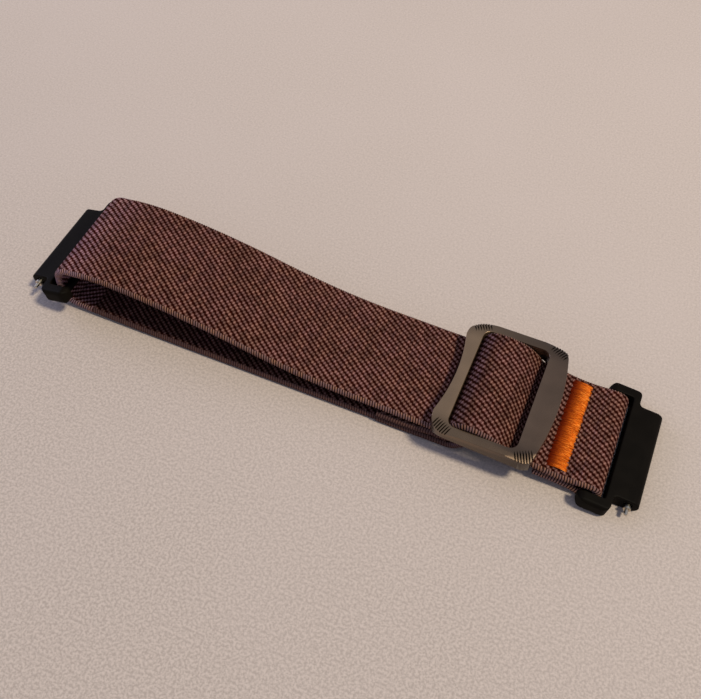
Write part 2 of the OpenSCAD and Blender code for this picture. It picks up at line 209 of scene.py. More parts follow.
def round_corners(piece, radius, steps):
    """Rounds the corners of a flat sheet, and stays in edit mode with all of it selected."""
    edit_all(piece)
    bpy.ops.mesh.bevel(offset=radius * MM, segments=steps, affect="VERTICES", profile=0.5)
    bpy.ops.mesh.select_all(action="SELECT")


def closed_outwards(piece):
    edit_all(piece)
    bpy.ops.mesh.remove_doubles(threshold=MERGE * MM)
    bpy.ops.mesh.normals_make_consistent(inside=False)
    object_mode()


def applied(piece, kind, **settings):
    only(piece)
    modifier = piece.modifiers.new(kind.lower(), kind)
    for key, value in settings.items():
        setattr(modifier, key, value)
    bpy.ops.object.modifier_apply(modifier=modifier.name)


def cut(piece, cutter, how="DIFFERENCE"):
    applied(piece, "BOOLEAN", operation=how, object=cutter, solver="EXACT")
    bpy.data.objects.remove(cutter, do_unlink=True)


def joined(*pieces):
    nothing_selected()
    for piece in pieces:
        piece.select_set(True)
    bpy.context.view_layer.objects.active = pieces[0]
    bpy.ops.object.join()
    return bpy.context.object


def copy_of(piece, name, move):
    nothing_selected()
    twin = piece.copy()
    twin.data = piece.data.copy()
    twin.name = name
    twin.data.name = name
    bpy.context.collection.objects.link(twin)
    twin.data.transform(move)
    return twin


def smooth(piece, degrees):
    only(piece)
    bpy.ops.object.shade_smooth_by_angle(angle=math.radians(degrees))


# Sizes of the strap, in millimetres

STRAP_LENGTH = 124.9
BAND_WIDTH = 21.8
BAND_THICK = 1.55
LAYER_GAP = 0.05
SIDE_GAP = 0.4
HALF = BAND_THICK / 2
LAYER = BAND_THICK + LAYER_GAP

# Adapters, from the middle of the ring bar
ADAPTER_THICK = 3.2
NOSE = ADAPTER_THICK / 2
BLOCK_REACH = 9.5
BLOCK_WIDTH = 19.8
SLOT_REACH = 3.3
ARM_OVERLAP = 1.3
ARM_WIDTH = 2.1
ARM_ROUND = 0.8
RING_BAR = 0.75
BAR_GAP = 0.05
BORE = 0.8
BORE_BACK = 1.9
BORE_REACH = BLOCK_REACH - BORE_BACK
SLOT_HALF = BAND_WIDTH / 2 + SIDE_GAP
RING_HALF = SLOT_HALF + ARM_WIDTH

# Where the two adapters lie: the right one on the table, the left one hanging down
FOLD_SLACK = 0.4
WRAP = RING_BAR + BAR_GAP + HALF
RIGHT_RING_Z = WRAP + HALF
RIGHT_TILT = math.asin((RIGHT_RING_Z - NOSE) / (BLOCK_REACH - NOSE))
RIGHT_RING_X = STRAP_LENGTH / 2 - NOSE - (BLOCK_REACH - NOSE) * math.cos(RIGHT_TILT)
LEFT_TILT = math.radians(14)
LEFT_RING_Z = 5.8
LEFT_RING_X = -STRAP_LENGTH / 2 + NOSE + (BLOCK_REACH - NOSE) * math.cos(LEFT_TILT)

# Bartack and buckle frame, from the right adapter leftwards
BARTACK_BACK = 4.3
BARTACK_LENGTH = 3.8
BARTACK_X1 = RIGHT_RING_X - BARTACK_BACK
BARTACK_X0 = BARTACK_X1 - BARTACK_LENGTH
FRAME_BACK = 1
FRAME_LENGTH = 20.6
FRAME_THICK = 3.2
FRAME_LIFT = 0.75
LEFT_BAR = 3.1
RIGHT_BAR = 4.6
RAIL = 1.8
FRAME_X1 = BARTACK_X0 - FRAME_BACK
FRAME_X0 = FRAME_X1 - FRAME_LENGTH
WINDOW_X0 = FRAME_X0 + LEFT_BAR
WINDOW_X1 = FRAME_X1 - RIGHT_BAR
FRAME_HALF = SLOT_HALF + RAIL
FRAME_Z0 = 3 * BAND_THICK + FRAME_LIFT
FRAME_Z1 = FRAME_Z0 + FRAME_THICK
RIGHT_BOW = 0.9
UNDER_CUT = 0.8
UNDER_SLOPE = math.radians(53)
UNDER_TAPER = math.radians(4.7)
WAIST = 1.1
WAIST_SPAN = 18
CORNER = 3.6
WINDOW_CORNER = 1.6

# Centre bar, and the band's hump and sewn loop over it
PASS_Z = FRAME_Z0 - LAYER_GAP - HALF
CENTRE_BAR_THICK = 0.88
CENTRE_BAR_WIDTH = 2.0
CENTRE_BAR_Z = FRAME_Z0 + LAYER_GAP + CENTRE_BAR_THICK / 2
CREST_Z = FRAME_Z0 + 2 * LAYER_GAP + CENTRE_BAR_THICK + HALF + LAYER
CHAMFER = 0.25
DIVE = 2.5
HUMP_TURN = 74
EDGE = HALF + LAYER_GAP + CHAMFER
EDGE_C = (WINDOW_X0 - CHAMFER, FRAME_Z0 + CHAMFER)
DIVE_X = EDGE_C[0] + EDGE + DIVE
DIVE_Z = CREST_Z - DIVE
LOOP = CENTRE_BAR_THICK / 2 + LAYER_GAP + HALF
CENTRE_BAR_X1 = DIVE_X - (DIVE - LAYER) + HALF + 2 * LAYER_GAP + CENTRE_BAR_WIDTH
LOOP_C = (CENTRE_BAR_X1 - CENTRE_BAR_THICK / 2, CENTRE_BAR_Z)
STACK_DROP = 0.85
STACK_Z = PASS_Z - STACK_DROP
TAIL = 10.1
TAIL_END = FRAME_X0 - TAIL

# Turn of the band at the left end
TURN_REACH = 4.75
TURN_CUT = LEFT_RING_X + TURN_REACH
TURN_X = LEFT_RING_X - RING_BAR - 2 * BAR_GAP - HALF
ARCH_Z = 12.2
TURN_TOP_Z = 11.4
TURN_TOP = 3.6
TURN_BOTTOM_Z = 1.575
TURN_BOTTOM = 2.6


# Route of the band's middle line, from its end under the bartack to its end under the buckle

def mix(a, b, share):
    """The number that lies at a share of the way from a to b."""
    return a + (b - a) * share


def arc(centre, radius, first, last, count):
    """Points on an arc from one angle to another, in degrees, with count steps between them."""
    turns = [math.radians(first + (last - first) * i / count) for i in range(count + 1)]
    return [(centre[0] + radius * math.cos(a), centre[1] + radius * math.sin(a)) for a in turns]


def route():
    """The stretches of the route as {name: points}, each going on from the last point of the one before.

    The points, in millimetres, are set after the photo. The band runs smoothly through them.
    """
    single_x1 = BARTACK_X0 - 0.3
    single_x0 = WINDOW_X1 + 2.3
    hump_x0 = FRAME_X0 + 0.5
    ring_top = RIGHT_RING_Z + WRAP
    end_fold = [
        (BARTACK_X0 - 1.7, STACK_Z - LAYER + 0.25),
        (BARTACK_X0, STACK_Z - LAYER + 0.1),
        (BARTACK_X1 - 1.5, STACK_Z - LAYER),
        (BARTACK_X1 + 1, mix(HALF, STACK_Z - LAYER, 0.75)),
    ] + arc((RIGHT_RING_X + FOLD_SLACK, RIGHT_RING_Z), WRAP, -90, 90, 8) + [
        (BARTACK_X1 + 2.2, mix(STACK_Z, ring_top, 0.5)),
        (BARTACK_X1 + 0.2, STACK_Z),
        (BARTACK_X1 - 2, STACK_Z + 0.06),
        (single_x1, mix(STACK_Z, PASS_Z, 0.42)),
    ]
    single_run = [(single_x1 - 1.6, PASS_Z - 0.17), (single_x0, PASS_Z)]
    hump_reach = LOOP + LAYER
    foot = (WINDOW_X1 - 0.1, PASS_Z)
    edge = arc(LOOP_C, hump_reach, HUMP_TURN, 90, 2)
    climb = ((0.14, 0.1), (0.33, 0.45), (0.64, 0.84))
    flank = [(mix(foot[0], edge[0][0], a), mix(foot[1], edge[0][1], b)) for a, b in climb]
    hump = [foot] + flank + edge + arc((DIVE_X, DIVE_Z), DIVE, 90, 180, 5)
    hump += arc(EDGE_C, EDGE, 0, -90, 4) + [(hump_x0, PASS_Z)]
    rise = ((0.13, 0.03), (0.26, 0.07), (0.38, 0.18), (0.5, 0.38), (0.62, 0.635),
            (0.75, 0.85), (0.86, 0.965), (0.935, 1), (1, 0.955))
    upper = [(mix(hump_x0, TURN_CUT, a), mix(PASS_Z, ARCH_Z, b)) for a, b in rise]
    turn = arc((TURN_X + TURN_TOP, TURN_TOP_Z - TURN_TOP), TURN_TOP, 90, 180, 6)
    turn += arc((TURN_X + TURN_BOTTOM, TURN_BOTTOM_Z + TURN_BOTTOM), TURN_BOTTOM, 180, 270, 5)
    turn += [(TURN_CUT, mix(HALF, TURN_BOTTOM_Z, 0.65))]
    fall = ((0.1, 0.3), (0.21, 0.07), (0.31, 0), (0.6, 0), (1, 0))
    lower = [(mix(TURN_CUT, TAIL_END, a), mix(HALF, TURN_BOTTOM_Z, b)) for a, b in fall]
    round_bar = arc(LOOP_C, LOOP, -45, 90, 6)
    climb0 = (WINDOW_X0 + 1.8, HALF + 0.35)
    climb1 = (round_bar[0][0] - 0.9, round_bar[0][1] - 0.9)
    loop = [
        (mix(TAIL_END, WINDOW_X0, 0.6), HALF),
        (WINDOW_X0 - 0.3, HALF),
        (WINDOW_X0 + 0.3, HALF),
        (WINDOW_X0 + 0.9, HALF + 0.05),
    ] + [(mix(climb0[0], climb1[0], k / 2), mix(climb0[1], climb1[1], k / 2)) for k in range(3)]
    loop += round_bar + arc((DIVE_X, DIVE_Z), DIVE - LAYER, 90, 180, 4)
    loop += arc(EDGE_C, EDGE + LAYER, 0, -90, 6) + [
        (FRAME_X0 + 0.9, EDGE_C[1] - EDGE - LAYER),
        (FRAME_X0 - 2.6, HALF + LAYER + 0.08),
        (FRAME_X0 - 4.2, HALF + LAYER),
        (TAIL_END, HALF + LAYER),
    ]
    return {
        "end_fold": end_fold, "single_run": single_run, "buckle_hump": hump, "upper_run": upper,
        "left_turn": turn, "lower_run": lower, "sewn_loop": loop,
    }


def smooth_line(points, steps):
    """A curve through the points, with steps between each pair."""
    p = np.array(points, float)
    gaps = np.linalg.norm(np.diff(p, axis=0), axis=1)
    slopes = np.zeros_like(p)
    unit = np.diff(p, axis=0) / gaps[:, None]
    slopes[0], slopes[-1] = unit[0], unit[-1]
    before, after = gaps[:-1, None], gaps[1:, None]
    slopes[1:-1] = (unit[:-1] * after + unit[1:] * before) / (before + after)
    line = []
    for i, gap in enumerate(gaps):
        for k in range(steps):
            t = k / steps
            u = 1 - t
            line.append(
                p[i] * (1 + 2 * t) * u * u + slopes[i] * gap * t * u * u
                + p[i + 1] * t * t * (3 - 2 * t) - slopes[i + 1] * gap * t * t * u
            )
    line.append(p[-1])
    return np.array(line)


STEPS = 6
STRETCHES = route()
KNOTS = [p for points in STRETCHES.values() for p in points]
LINE = smooth_line(KNOTS, STEPS)
RUN = np.concatenate([[0], np.cumsum(np.linalg.norm(np.diff(LINE, axis=0), axis=1))])


def stretch_ends():
    """Where each stretch starts and ends: {name: (first place in the line, last place)}."""
    ends, last = {}, -1
    for name, points in STRETCHES.items():
        first = max(last, 0)
        last += len(points)
        ends[name] = (first * STEPS, last * STEPS)
    return ends


ENDS = stretch_ends()


def wear(piece, *materials):
    piece.data.materials.clear()
    for material in materials:
        piece.data.materials.append(material)


# Woven band

# Columns of stitches lie across the band, 114 of them in 60 mm, and rows along it. TWILL columns repeat.
COLUMN = 60 / 114
ROW = 1.124
TWILL = 3
STITCH_TILT = math.radians(68)
STITCH_LONG = 0.42
STITCH_SHORT = 0.25
RIDGE = 0.30
RIDGE_HEIGHT = 0.78
# The selvages have slanted ribs in place of stitches.
SELVAGE = 10.3
RIB_PITCH = 0.95
RIB = 0.38
RIB_HEIGHT = 0.9
RIB_SLANT = 0.5
RELIEF = 0.11
BULGE = 0.24

# Mesh of the band: faces to a column, rows of faces, steps round a selvage, and the angle smoothed over
FINE_STEPS = 4
COARSE_STEPS = 2
LEAST_STEPS = 6
FINE_ROWS = 150
COARSE_ROWS = 12
RIM_STEPS = 7
BAND_SMOOTH = 60
FINE = ("end_fold", "buckle_hump", "upper_run", "left_turn")
RAISED = FINE + ("lower_run",)
# Which way the woven pattern runs along each stretch
PATTERN_SIGN = {
    "end_fold": -1, "single_run": -1, "buckle_hump": -1, "upper_run": -1, "left_turn": -1,
    "lower_run": 1, "sewn_loop": 1,
}


def bead_cover(along, across):
    """How high the thread stands, 0 to 1, at places along and across the band in millimetres."""
    column = along / COLUMN
    n = np.floor(column)
    in_column = column - n - 0.5
    row = across / ROW + n / TWILL
    in_row = row - np.floor(row) - 0.5
    dx, dy = in_column * COLUMN, in_row * ROW
    long = dx * math.cos(STITCH_TILT) + dy * math.sin(STITCH_TILT)
    short = dy * math.cos(STITCH_TILT) - dx * math.sin(STITCH_TILT)
    stitch = np.sqrt(np.clip(1 - (long / STITCH_LONG) ** 2 - (short / STITCH_SHORT) ** 2, 0, 1))
    lean = in_row + in_column / TWILL
    ridge = RIDGE_HEIGHT * np.sqrt(np.clip(1 - (lean / RIDGE) ** 2, 0, 1))
    in_rib = (column / RIB_PITCH + across * RIB_SLANT) % 1 - 0.5
    rib = np.sqrt(np.clip(1 - (in_rib / RIB) ** 2, 0, 1))
    return np.where(np.abs(across) > SELVAGE, rib * RIB_HEIGHT, np.maximum(stitch, ridge))


def make_path():
    """The route as a curve object that bends the flat stretches."""
    curve = bpy.data.curves.new("band_path", "CURVE")
    curve.dimensions = "3D"
    curve.twist_mode = "MINIMUM"
    spline = curve.splines.new("POLY")
    spline.points.add(len(LINE) - 1)
    for point, (x, z) in zip(spline.points, LINE):
        point.co = (x * MM, 0, z * MM, 1)
    path = bpy.data.objects.new("band_path", curve)
    bpy.context.collection.objects.link(path)
    return path


def half_width(name):
    """Half the width of a stretch. The band bulges a little where it is bent over the centre bar."""
    return BAND_WIDTH / 2 + (BULGE if name in ("buckle_hump", "sewn_loop") else 0)


def flat_stretch(name, columns, rows):
    """One stretch of the band laid flat: X is its place along the route, rounded at both selvages."""
    first, last = (RUN[i] for i in ENDS[name])
    flat_half = half_width(name) - HALF
    piece = sheet_of("band_" + name, first, last, -flat_half, flat_half, HALF, columns, rows)
    for side in (-1, 1):
        pick_edges(piece, lambda x, y, z: np.abs(y - side * flat_half) < TOUCH)
        spots = arc((flat_half, 0), HALF, 90, -90, RIM_STEPS)
        for here, there in zip(spots[:-1], spots[1:]):
            extrude_by(0, side * (there[0] - here[0]), there[1] - here[1])
    object_mode()
    pick_edges(piece, lambda x, y, z: z < -HALF + TOUCH, 0)
    bpy.ops.mesh.bridge_edge_loops()
    for end in (first, last):
        pick_edges(piece, lambda x, y, z: np.abs(x - end) < TOUCH)
        bpy.ops.mesh.edge_face_add()
    closed_outwards(piece)
    return piece


def weave_map(piece, along0, sign, half):
    """Writes the woven pattern's place into the piece's own map while the piece is flat, and returns it."""
    mesh = piece.data
    spots = places(mesh)
    corners = np.empty(len(mesh.loops), np.int32)
    mesh.loops.foreach_get("vertex_index", corners)
    layer = mesh.uv_layers.new(name="weave")
    across = spots[:, 1] * BAND_WIDTH / 2 / half
    along = along0 + sign * (spots[:, 0] - spots[:, 0].min())
    pairs = np.stack([along, across], 1)[corners].astype(np.float32)
    layer.data.foreach_set("uv", pairs.ravel())
    return along, across


def raise_threads(piece, along, across, half, both_faces):
    """Lifts the threads off the flat piece: beads on its faces and ribs round its selvages."""
    mesh = piece.data
    spots = places(mesh)
    lift = (bead_cover(along, across) - 0.5) * RELIEF
    flat_half = half - HALF
    inside = np.clip(spots[:, 1], -flat_half, flat_half)
    out = np.stack([np.zeros(len(spots)), spots[:, 1] - inside, spots[:, 2]], 1)
    size = np.maximum(np.linalg.norm(out, axis=1, keepdims=True), 1e-6)
    if not both_faces:
        bottom = (spots[:, 2] < 0) & (np.abs(spots[:, 1]) <= flat_half + TOUCH)
        lift = np.where(bottom, 0, lift)
    move_corners(mesh, spots + out / size * lift[:, None])


def make_band(path):
    """Every stretch of the band, woven, bent along its route and shaded smooth."""
    made = {}
    for name, sign in PATTERN_SIGN.items():
        first, last = (RUN[i] for i in ENDS[name])
        per_column = FINE_STEPS if name in RAISED else COARSE_STEPS
        columns = max(LEAST_STEPS, round((last - first) / COLUMN * per_column))
        piece = flat_stretch(name, columns, FINE_ROWS if name in FINE else COARSE_ROWS)
        half = half_width(name)
        along, across = weave_map(piece, LINE[ENDS[name][0]][0], sign, half)
        if name in RAISED:
            raise_threads(piece, along, across, half, name in FINE)
        applied(piece, "CURVE", object=path, deform_axis="POS_X")
        smooth(piece, BAND_SMOOTH)
        made[name] = piece
    bpy.data.objects.remove(path, do_unlink=True)
    return made


# Bartack and seam

# Height of a thread along its length, as shares of the length and the rise
STRAND_SHAPE = ((0, -0.15), (0.07, 0.35), (0.24, 0.82), (0.5, 1), (0.76, 0.82), (0.93, 0.35), (1, -0.15))
# How far each thread may lie off its place along the band, below it, above it, and turned, in degrees
LOOSE_ALONG = 0.16
LOOSE_DOWN = 0.04
LOOSE_UP = 0.03
LOOSE_TURN = 3
SATIN_SMOOTH = 60
TACK_HALF = BAND_WIDTH / 2 - 1.4
OVER = {"half": TACK_HALF, "pitch": 0.22, "rise": 0.42, "thick": 0.15}
UNDER = {"half": TACK_HALF, "pitch": 0.4, "rise": 0.02, "thick": 0.15}
SEAM = {"half": TACK_HALF, "pitch": 0.4, "rise": 0.22, "thick": 0.13}
SEAM_WIDTH = 2.6
SEAM_X1 = FRAME_X0 - 5


def band_face(x, side, stretch):
    """Height of the band's face over x, on the side of the route's normal."""
    first, last = ENDS[stretch]
    part = LINE[first:last + 1]
    if stretch == "end_fold":
        part = part[len(part) // 2:] if side > 0 else part[:len(part) // 2]
    order = np.argsort(part[:, 0])
    return float(np.interp(x, part[order, 0], part[order, 1]))


def strand(name, x0, x1, z0, z1, rise, thick):
    """One satin thread domed over the band from x0 to x1, diving in at both ends."""
    nothing_selected()
    bpy.ops.curve.primitive_bezier_curve_add()
    curve = named(name)
    spline = curve.data.splines[0]
    spline.bezier_points.add(len(STRAND_SHAPE) - len(spline.bezier_points))
    for point, (share, height) in zip(spline.bezier_points, STRAND_SHAPE):
        point.co = (mix(x0, x1, share) * MM, 0, (mix(z0, z1, share) + rise * height - thick) * MM)
        point.handle_left_type = point.handle_right_type = "AUTO"
    curve.data.bevel_depth = thick * MM
    curve.data.bevel_resolution = 1
    curve.data.resolution_u = 2
    curve.data.use_fill_caps = True
    bpy.ops.object.convert(target="MESH")
    return settle(bpy.context.object)


def satin(name, x0, x1, z0, z1, half, pitch, rise, thick):
    """A row of satin threads side by side across the band."""
    model = strand(name, x0, x1, z0, z1, rise, thick)
    middle = Matrix.Translation(Vector(((x0 + x1) / 2, 0, 0)) * MM)
    count = int(2 * half / pitch)
    copies = []
    for i in range(count + 1):
        along = random.uniform(-LOOSE_ALONG, LOOSE_ALONG)
        shift = Vector((along, -half + i * 2 * half / count, random.uniform(-LOOSE_DOWN, LOOSE_UP)))
        turn = Matrix.Rotation(math.radians(random.uniform(-LOOSE_TURN, LOOSE_TURN)), 4, "Z")
        place = Matrix.Translation(shift * MM) @ middle @ turn @ middle.inverted()
        copies.append(copy_of(model, name, place))
    bpy.data.objects.remove(model, do_unlink=True)
    piece = joined(*copies)
    piece.name = name
    smooth(piece, SATIN_SMOOTH)
    return piece


# Buckle

ROUND_STEPS = 9
FRAME_ROUND = 0.42
FRAME_ROUND_STEPS = 4
FRAME_SHARP = 40
FRAME_SMOOTH = 32
DISC_SIDES = 400
DISC_HEIGHT = 30
UNDER_BLOCK = (50, 12, 8)
FACET_TURN = 64
FACET_BACK = 0.6
FACET_IN = 1.3
FACET_DOWN = 0.5
# Grooves of a facet: number, pitch, depth, the half of the pitch that each takes, and steps to the pitch
GROOVES = 8
GROOVE = 0.5
GROOVE_DEPTH = 0.28
GROOVE_SHARE = 0.1
GROOVE_STEPS = 8
CUTTER_REACH = 6
CUTTER_HEIGHT = 8
# A face whose normal has less than this of Z is the side of a groove.
LEVEL_FACE = 0.9


def rounded_loop(x0, x1, half, radius, name):
    """An outline in the XY plane with rounded corners."""
    piece = sheet_of(name, x0, x1, -half, half, FRAME_Z0)
    round_corners(piece, radius, ROUND_STEPS)
    bpy.ops.mesh.delete(type="ONLY_FACE")
    object_mode()
    return piece


def facet_cutter(corner_x, corner_y, heading):
    """A block with a grooved underside, laid on one corner of the frame. Grooves get the second material,
    with painted shade.
    """
    half = GROOVES * GROOVE / 2
    steps = GROOVE_STEPS * GROOVES
    piece = sheet_of("facet_cutter", -CUTTER_REACH, CUTTER_REACH, -2 * half, 2 * half, 0, 1, steps)
    mesh = piece.data
    spots = places(mesh)
    away = np.abs((spots[:, 1] / GROOVE + 0.5) % 1 - 0.5)
    spots[:, 2] -= np.where((away < GROOVE_SHARE) & (np.abs(spots[:, 1]) < half), GROOVE_DEPTH, 0)
    move_corners(mesh, spots)
    for face in mesh.polygons:
        face.material_index = int(abs(face.normal.z) < LEVEL_FACE)
    edit_all(piece)
    extrude_by(0, 0, CUTTER_HEIGHT)
    object_mode()
    closed_outwards(piece)
    slope = math.atan(FACET_DOWN / FACET_IN)
    place = Matrix.Translation(Vector((corner_x, corner_y, FRAME_Z1)) * MM)
    place @= Matrix.Rotation(math.radians(heading), 4, "Z")
    place @= Matrix.Translation(Vector((CORNER - FACET_IN, 0, 0)) * MM)
    place @= Matrix.Rotation(slope, 4, "Y")
    piece.data.transform(place)
    return piece


def wide_disc(name, x, radius):
    nothing_selected()
    bpy.ops.mesh.primitive_cylinder_add(vertices=DISC_SIDES, radius=radius * MM, depth=DISC_HEIGHT * MM,
                                        location=(x * MM, 0, FRAME_Z0 * MM))
    return settle(named(name))


def under_cutter(side):
    """A block whose upper face cuts the lower outer corner off one long rail."""
    nothing_selected()
    bpy.ops.mesh.primitive_cube_add(size=1)
    piece = named("under_cutter")
    size = Matrix.Diagonal([length * MM for length in UNDER_BLOCK] + [1])
    piece.data.transform(size @ Matrix.Translation((0, 0, -0.5)))
    middle_x = (FRAME_X0 + FRAME_X1) / 2
    place = Matrix.Translation(Vector((middle_x, side * FRAME_HALF, FRAME_Z0 + UNDER_CUT)) * MM)
    place @= Matrix.Rotation(UNDER_TAPER, 4, "Y") @ Matrix.Rotation(side * UNDER_SLOPE, 4, "X")
    piece.data.transform(place)
    return piece


def arc_radius(span, depth):
    """The radius of an arc that is span wide and depth high."""
    return (span ** 2 / 4 + depth ** 2) / (2 * depth)


def make_buckle(metal, groove_metal):
    """The frame, with its waisted left bar, bowed right bar, cut rails and four grooved facets."""
    outer = rounded_loop(FRAME_X0, FRAME_X1, FRAME_HALF, CORNER, "buckle")
    inner = rounded_loop(WINDOW_X0, WINDOW_X1, SLOT_HALF, WINDOW_CORNER, "window")
    piece = joined(outer, inner)
    wear(piece, metal, groove_metal)
    only(piece)
    bpy.ops.object.mode_set(mode="EDIT")
    bpy.ops.mesh.select_mode(type="EDGE")
    bpy.ops.mesh.select_all(action="SELECT")
    bpy.ops.mesh.bridge_edge_loops()
    object_mode()
    applied(piece, "SOLIDIFY", thickness=(FRAME_Z1 - FRAME_Z0) * MM, offset=1)
    closed_outwards(piece)
    low = places(piece.data)[:, 2].min()
    piece.data.transform(Matrix.Translation((0, 0, (FRAME_Z0 - low) * MM)))
    corner_y = FRAME_HALF - CORNER
    reach = arc_radius(WAIST_SPAN, WAIST)
    cut(piece, wide_disc("waist", FRAME_X0 + WAIST - reach, reach))
    reach = arc_radius(2 * corner_y, RIGHT_BOW)
    cut(piece, wide_disc("bow", FRAME_X1 - reach, reach), "INTERSECT")
    for side in (-1, 1):
        cut(piece, under_cutter(side))
    bevel_sharp(piece, FRAME_ROUND, FRAME_ROUND_STEPS, FRAME_SHARP)
    object_mode()
    corners = ((FRAME_X0 + CORNER, 180 - FACET_TURN), (FRAME_X1 - CORNER - FACET_BACK, FACET_TURN))
    for corner_x, heading in corners:
        for side in (-1, 1):
            cut(piece, facet_cutter(corner_x, side * corner_y, side * heading))
    smooth(piece, FRAME_SMOOTH)
    return piece


# Adapters

ARM_X = SLOT_REACH + ARM_OVERLAP
BLOCK_HALF = BLOCK_WIDTH / 2
# Upright edges of the adapter that are rounded: the place of each in X and Y, its radius and its steps
UPRIGHT_ROUNDS = (
    (-NOSE, RING_HALF, 2.0, 8),
    (ARM_X, RING_HALF, 2.0, 8),
    (ARM_X, BLOCK_HALF, 0.8, 5),
    (SLOT_REACH, SLOT_HALF, 0.4, 3),
)
# The rounding solids are a little larger than the flat faces that they keep, and reach well past the adapter.
ROUND_MARGIN = 0.02
ROUND_PAST = 2
ROUND_FROM = -5
ROUND_LENGTH = 20
END_SIDES = 64
VOXEL = 0.13
SOFTEN = 0.5
SOFTEN_TIMES = 10
BORE_PAST = 1
BAR_SEAT = 0.6
ADAPTER_SMOOTH = 35


def tube_along_y(x, radius, half, name, sides=40):
    nothing_selected()
    bpy.ops.mesh.primitive_cylinder_add(vertices=sides, radius=radius * MM, depth=2 * half * MM,
                                        location=(x * MM, 0, 0), rotation=(math.pi / 2, 0, 0))
    return settle(named(name))


def rounded_ends():
    """The adapter's section from the side: half round at the ring and at the far end of the block."""
    piece = tube_along_y(0, NOSE + ROUND_MARGIN, RING_HALF + ROUND_PAST, "rounded_ends", END_SIDES)
    spots = places(piece.data)
    spots[:, 0] += np.where(spots[:, 0] > NEAR, BLOCK_REACH - NOSE, 0)
    move_corners(piece.data, spots)
    return piece


def rounded_sides():
    """The ring's section from the end: a bar with round outer edges on its arms."""
    thick_half = NOSE + ROUND_MARGIN
    piece = sheet_of("rounded_sides", -thick_half, thick_half, -RING_HALF, RING_HALF, 0)
    round_corners(piece, ARM_ROUND, ROUND_STEPS)
    extrude_by(0, 0, ROUND_LENGTH)
    object_mode()
    closed_outwards(piece)
    piece.data.transform(Matrix.Translation((ROUND_FROM * MM, 0, 0)) @ Matrix.Rotation(math.pi / 2, 4, "Y"))
    return piece


def make_adapter():
    """The moulded adapter with its ring bar at the origin and its block towards +X."""
    piece = sheet_of("adapter", SLOT_REACH, BLOCK_REACH, 0, BLOCK_HALF, 0, 2, 1)
    spots = places(piece.data)
    middle = np.abs(spots[:, 0] - (SLOT_REACH + BLOCK_REACH) / 2) < NEAR
    spots[middle, 0] = ARM_X
    move_corners(piece.data, spots)
    pick_edges(piece, lambda x, y, z: (x < ARM_X + NEAR) & (y > BLOCK_HALF - NEAR))
    extrude_by(0, SLOT_HALF - BLOCK_HALF, 0)
    extrude_by(0, ARM_WIDTH, 0)
    object_mode()
    pick_edges(piece, lambda x, y, z: (x < SLOT_REACH + NEAR) & (y > SLOT_HALF - NEAR))
    extrude_by(-SLOT_REACH - NOSE, 0, 0)
    object_mode()
    applied(piece, "MIRROR", use_axis=(False, True, False), use_clip=True)
    applied(piece, "SOLIDIFY", thickness=ADAPTER_THICK * MM, offset=0)
    closed_outwards(piece)
    for at_x, at_y, radius, steps in UPRIGHT_ROUNDS:
        pick_edges(piece, lambda x, y, z: (np.abs(x - at_x) < NEAR) & (np.abs(np.abs(y) - at_y) < NEAR), 2)
        bevel_by(radius, steps)
        object_mode()
    cut(piece, rounded_ends(), "INTERSECT")
    cut(piece, rounded_sides(), "INTERSECT")
    closed_outwards(piece)
    applied(piece, "REMESH", mode="VOXEL", voxel_size=VOXEL * MM)
    applied(piece, "SMOOTH", factor=SOFTEN, iterations=SOFTEN_TIMES)
    cut(piece, tube_along_y(BORE_REACH, BORE, RING_HALF + BORE_PAST, "bore"))
    piece = joined(piece, tube_along_y(0, RING_BAR, SLOT_HALF + BAR_SEAT, "ring_bar"))
    smooth(piece, ADAPTER_SMOOTH)
    return piece


# Node materials

# Places of the value sockets of a colour Mix node
MIX_SHARE, MIX_A, MIX_B, MIX_RESULT = 0, 6, 7, 2
WHITE = (1.0, 1.0, 1.0, 1.0)


class Wiring:
    """Short names for adding nodes to one tree."""

    def __init__(self, tree):
        self.tree = tree

    def node(self, kind, inputs=None, **settings):
        node = self.tree.nodes.new(kind)
        for key, value in settings.items():
            setattr(node, key, value)
        for key, value in (inputs or {}).items():
            self.feed(node.inputs[key], value)
        return node

    def feed(self, socket, value):
        if isinstance(value, bpy.types.NodeSocket):
            self.tree.links.new(value, socket)
        else:
            socket.default_value = value

    def math(self, operation, *values):
        return self.node("ShaderNodeMath", dict(enumerate(values)), operation=operation).outputs[0]

    def dome(self, *reaches):
        """Height of a round dome, 1 in its middle and 0 from its edge, from its reach in each direction."""
        rest = 1.0
        for reach in reaches:
            rest = self.math("SUBTRACT", rest, self.math("MULTIPLY", reach, reach))
        return self.math("SQRT", self.math("MAXIMUM", rest, 0.0))

    def blend(self, share, a, b, how="MIX"):
        inputs = {MIX_SHARE: share, MIX_A: a, MIX_B: b}
        return self.node("ShaderNodeMix", inputs, data_type="RGBA", blend_type=how).outputs[MIX_RESULT]

    def times(self, colour, other):
        return self.blend(1.0, colour, other, "MULTIPLY")

    def grey(self, level):
        return self.node("ShaderNodeCombineColor", {"Red": level, "Green": level, "Blue": level}).outputs[0]

    def ramp(self, value, low, high, to_low=0.0, to_high=1.0, how="SMOOTHSTEP"):
        """The value's range from low to high, eased into the range from to_low to to_high."""
        ranges = {"Value": value, "From Min": low, "From Max": high, "To Min": to_low, "To Max": to_high}
        return self.node("ShaderNodeMapRange", ranges, interpolation_type=how).outputs[0]

    def line(self, value, low, high, to_low=0.0, to_high=1.0):
        return self.ramp(value, low, high, to_low, to_high, "LINEAR")

    def noise(self, where, scale, detail, rough):
        inputs = {"Vector": where, "Scale": scale, "Detail": detail, "Roughness": rough}
        return self.node("ShaderNodeTexNoise", inputs).outputs["Fac"]

    def parts(self, vector):
        return self.node("ShaderNodeSeparateXYZ", {0: vector}).outputs

    def grouped(self, group, inputs):
        return self.node("ShaderNodeGroup", inputs, node_tree=group).outputs


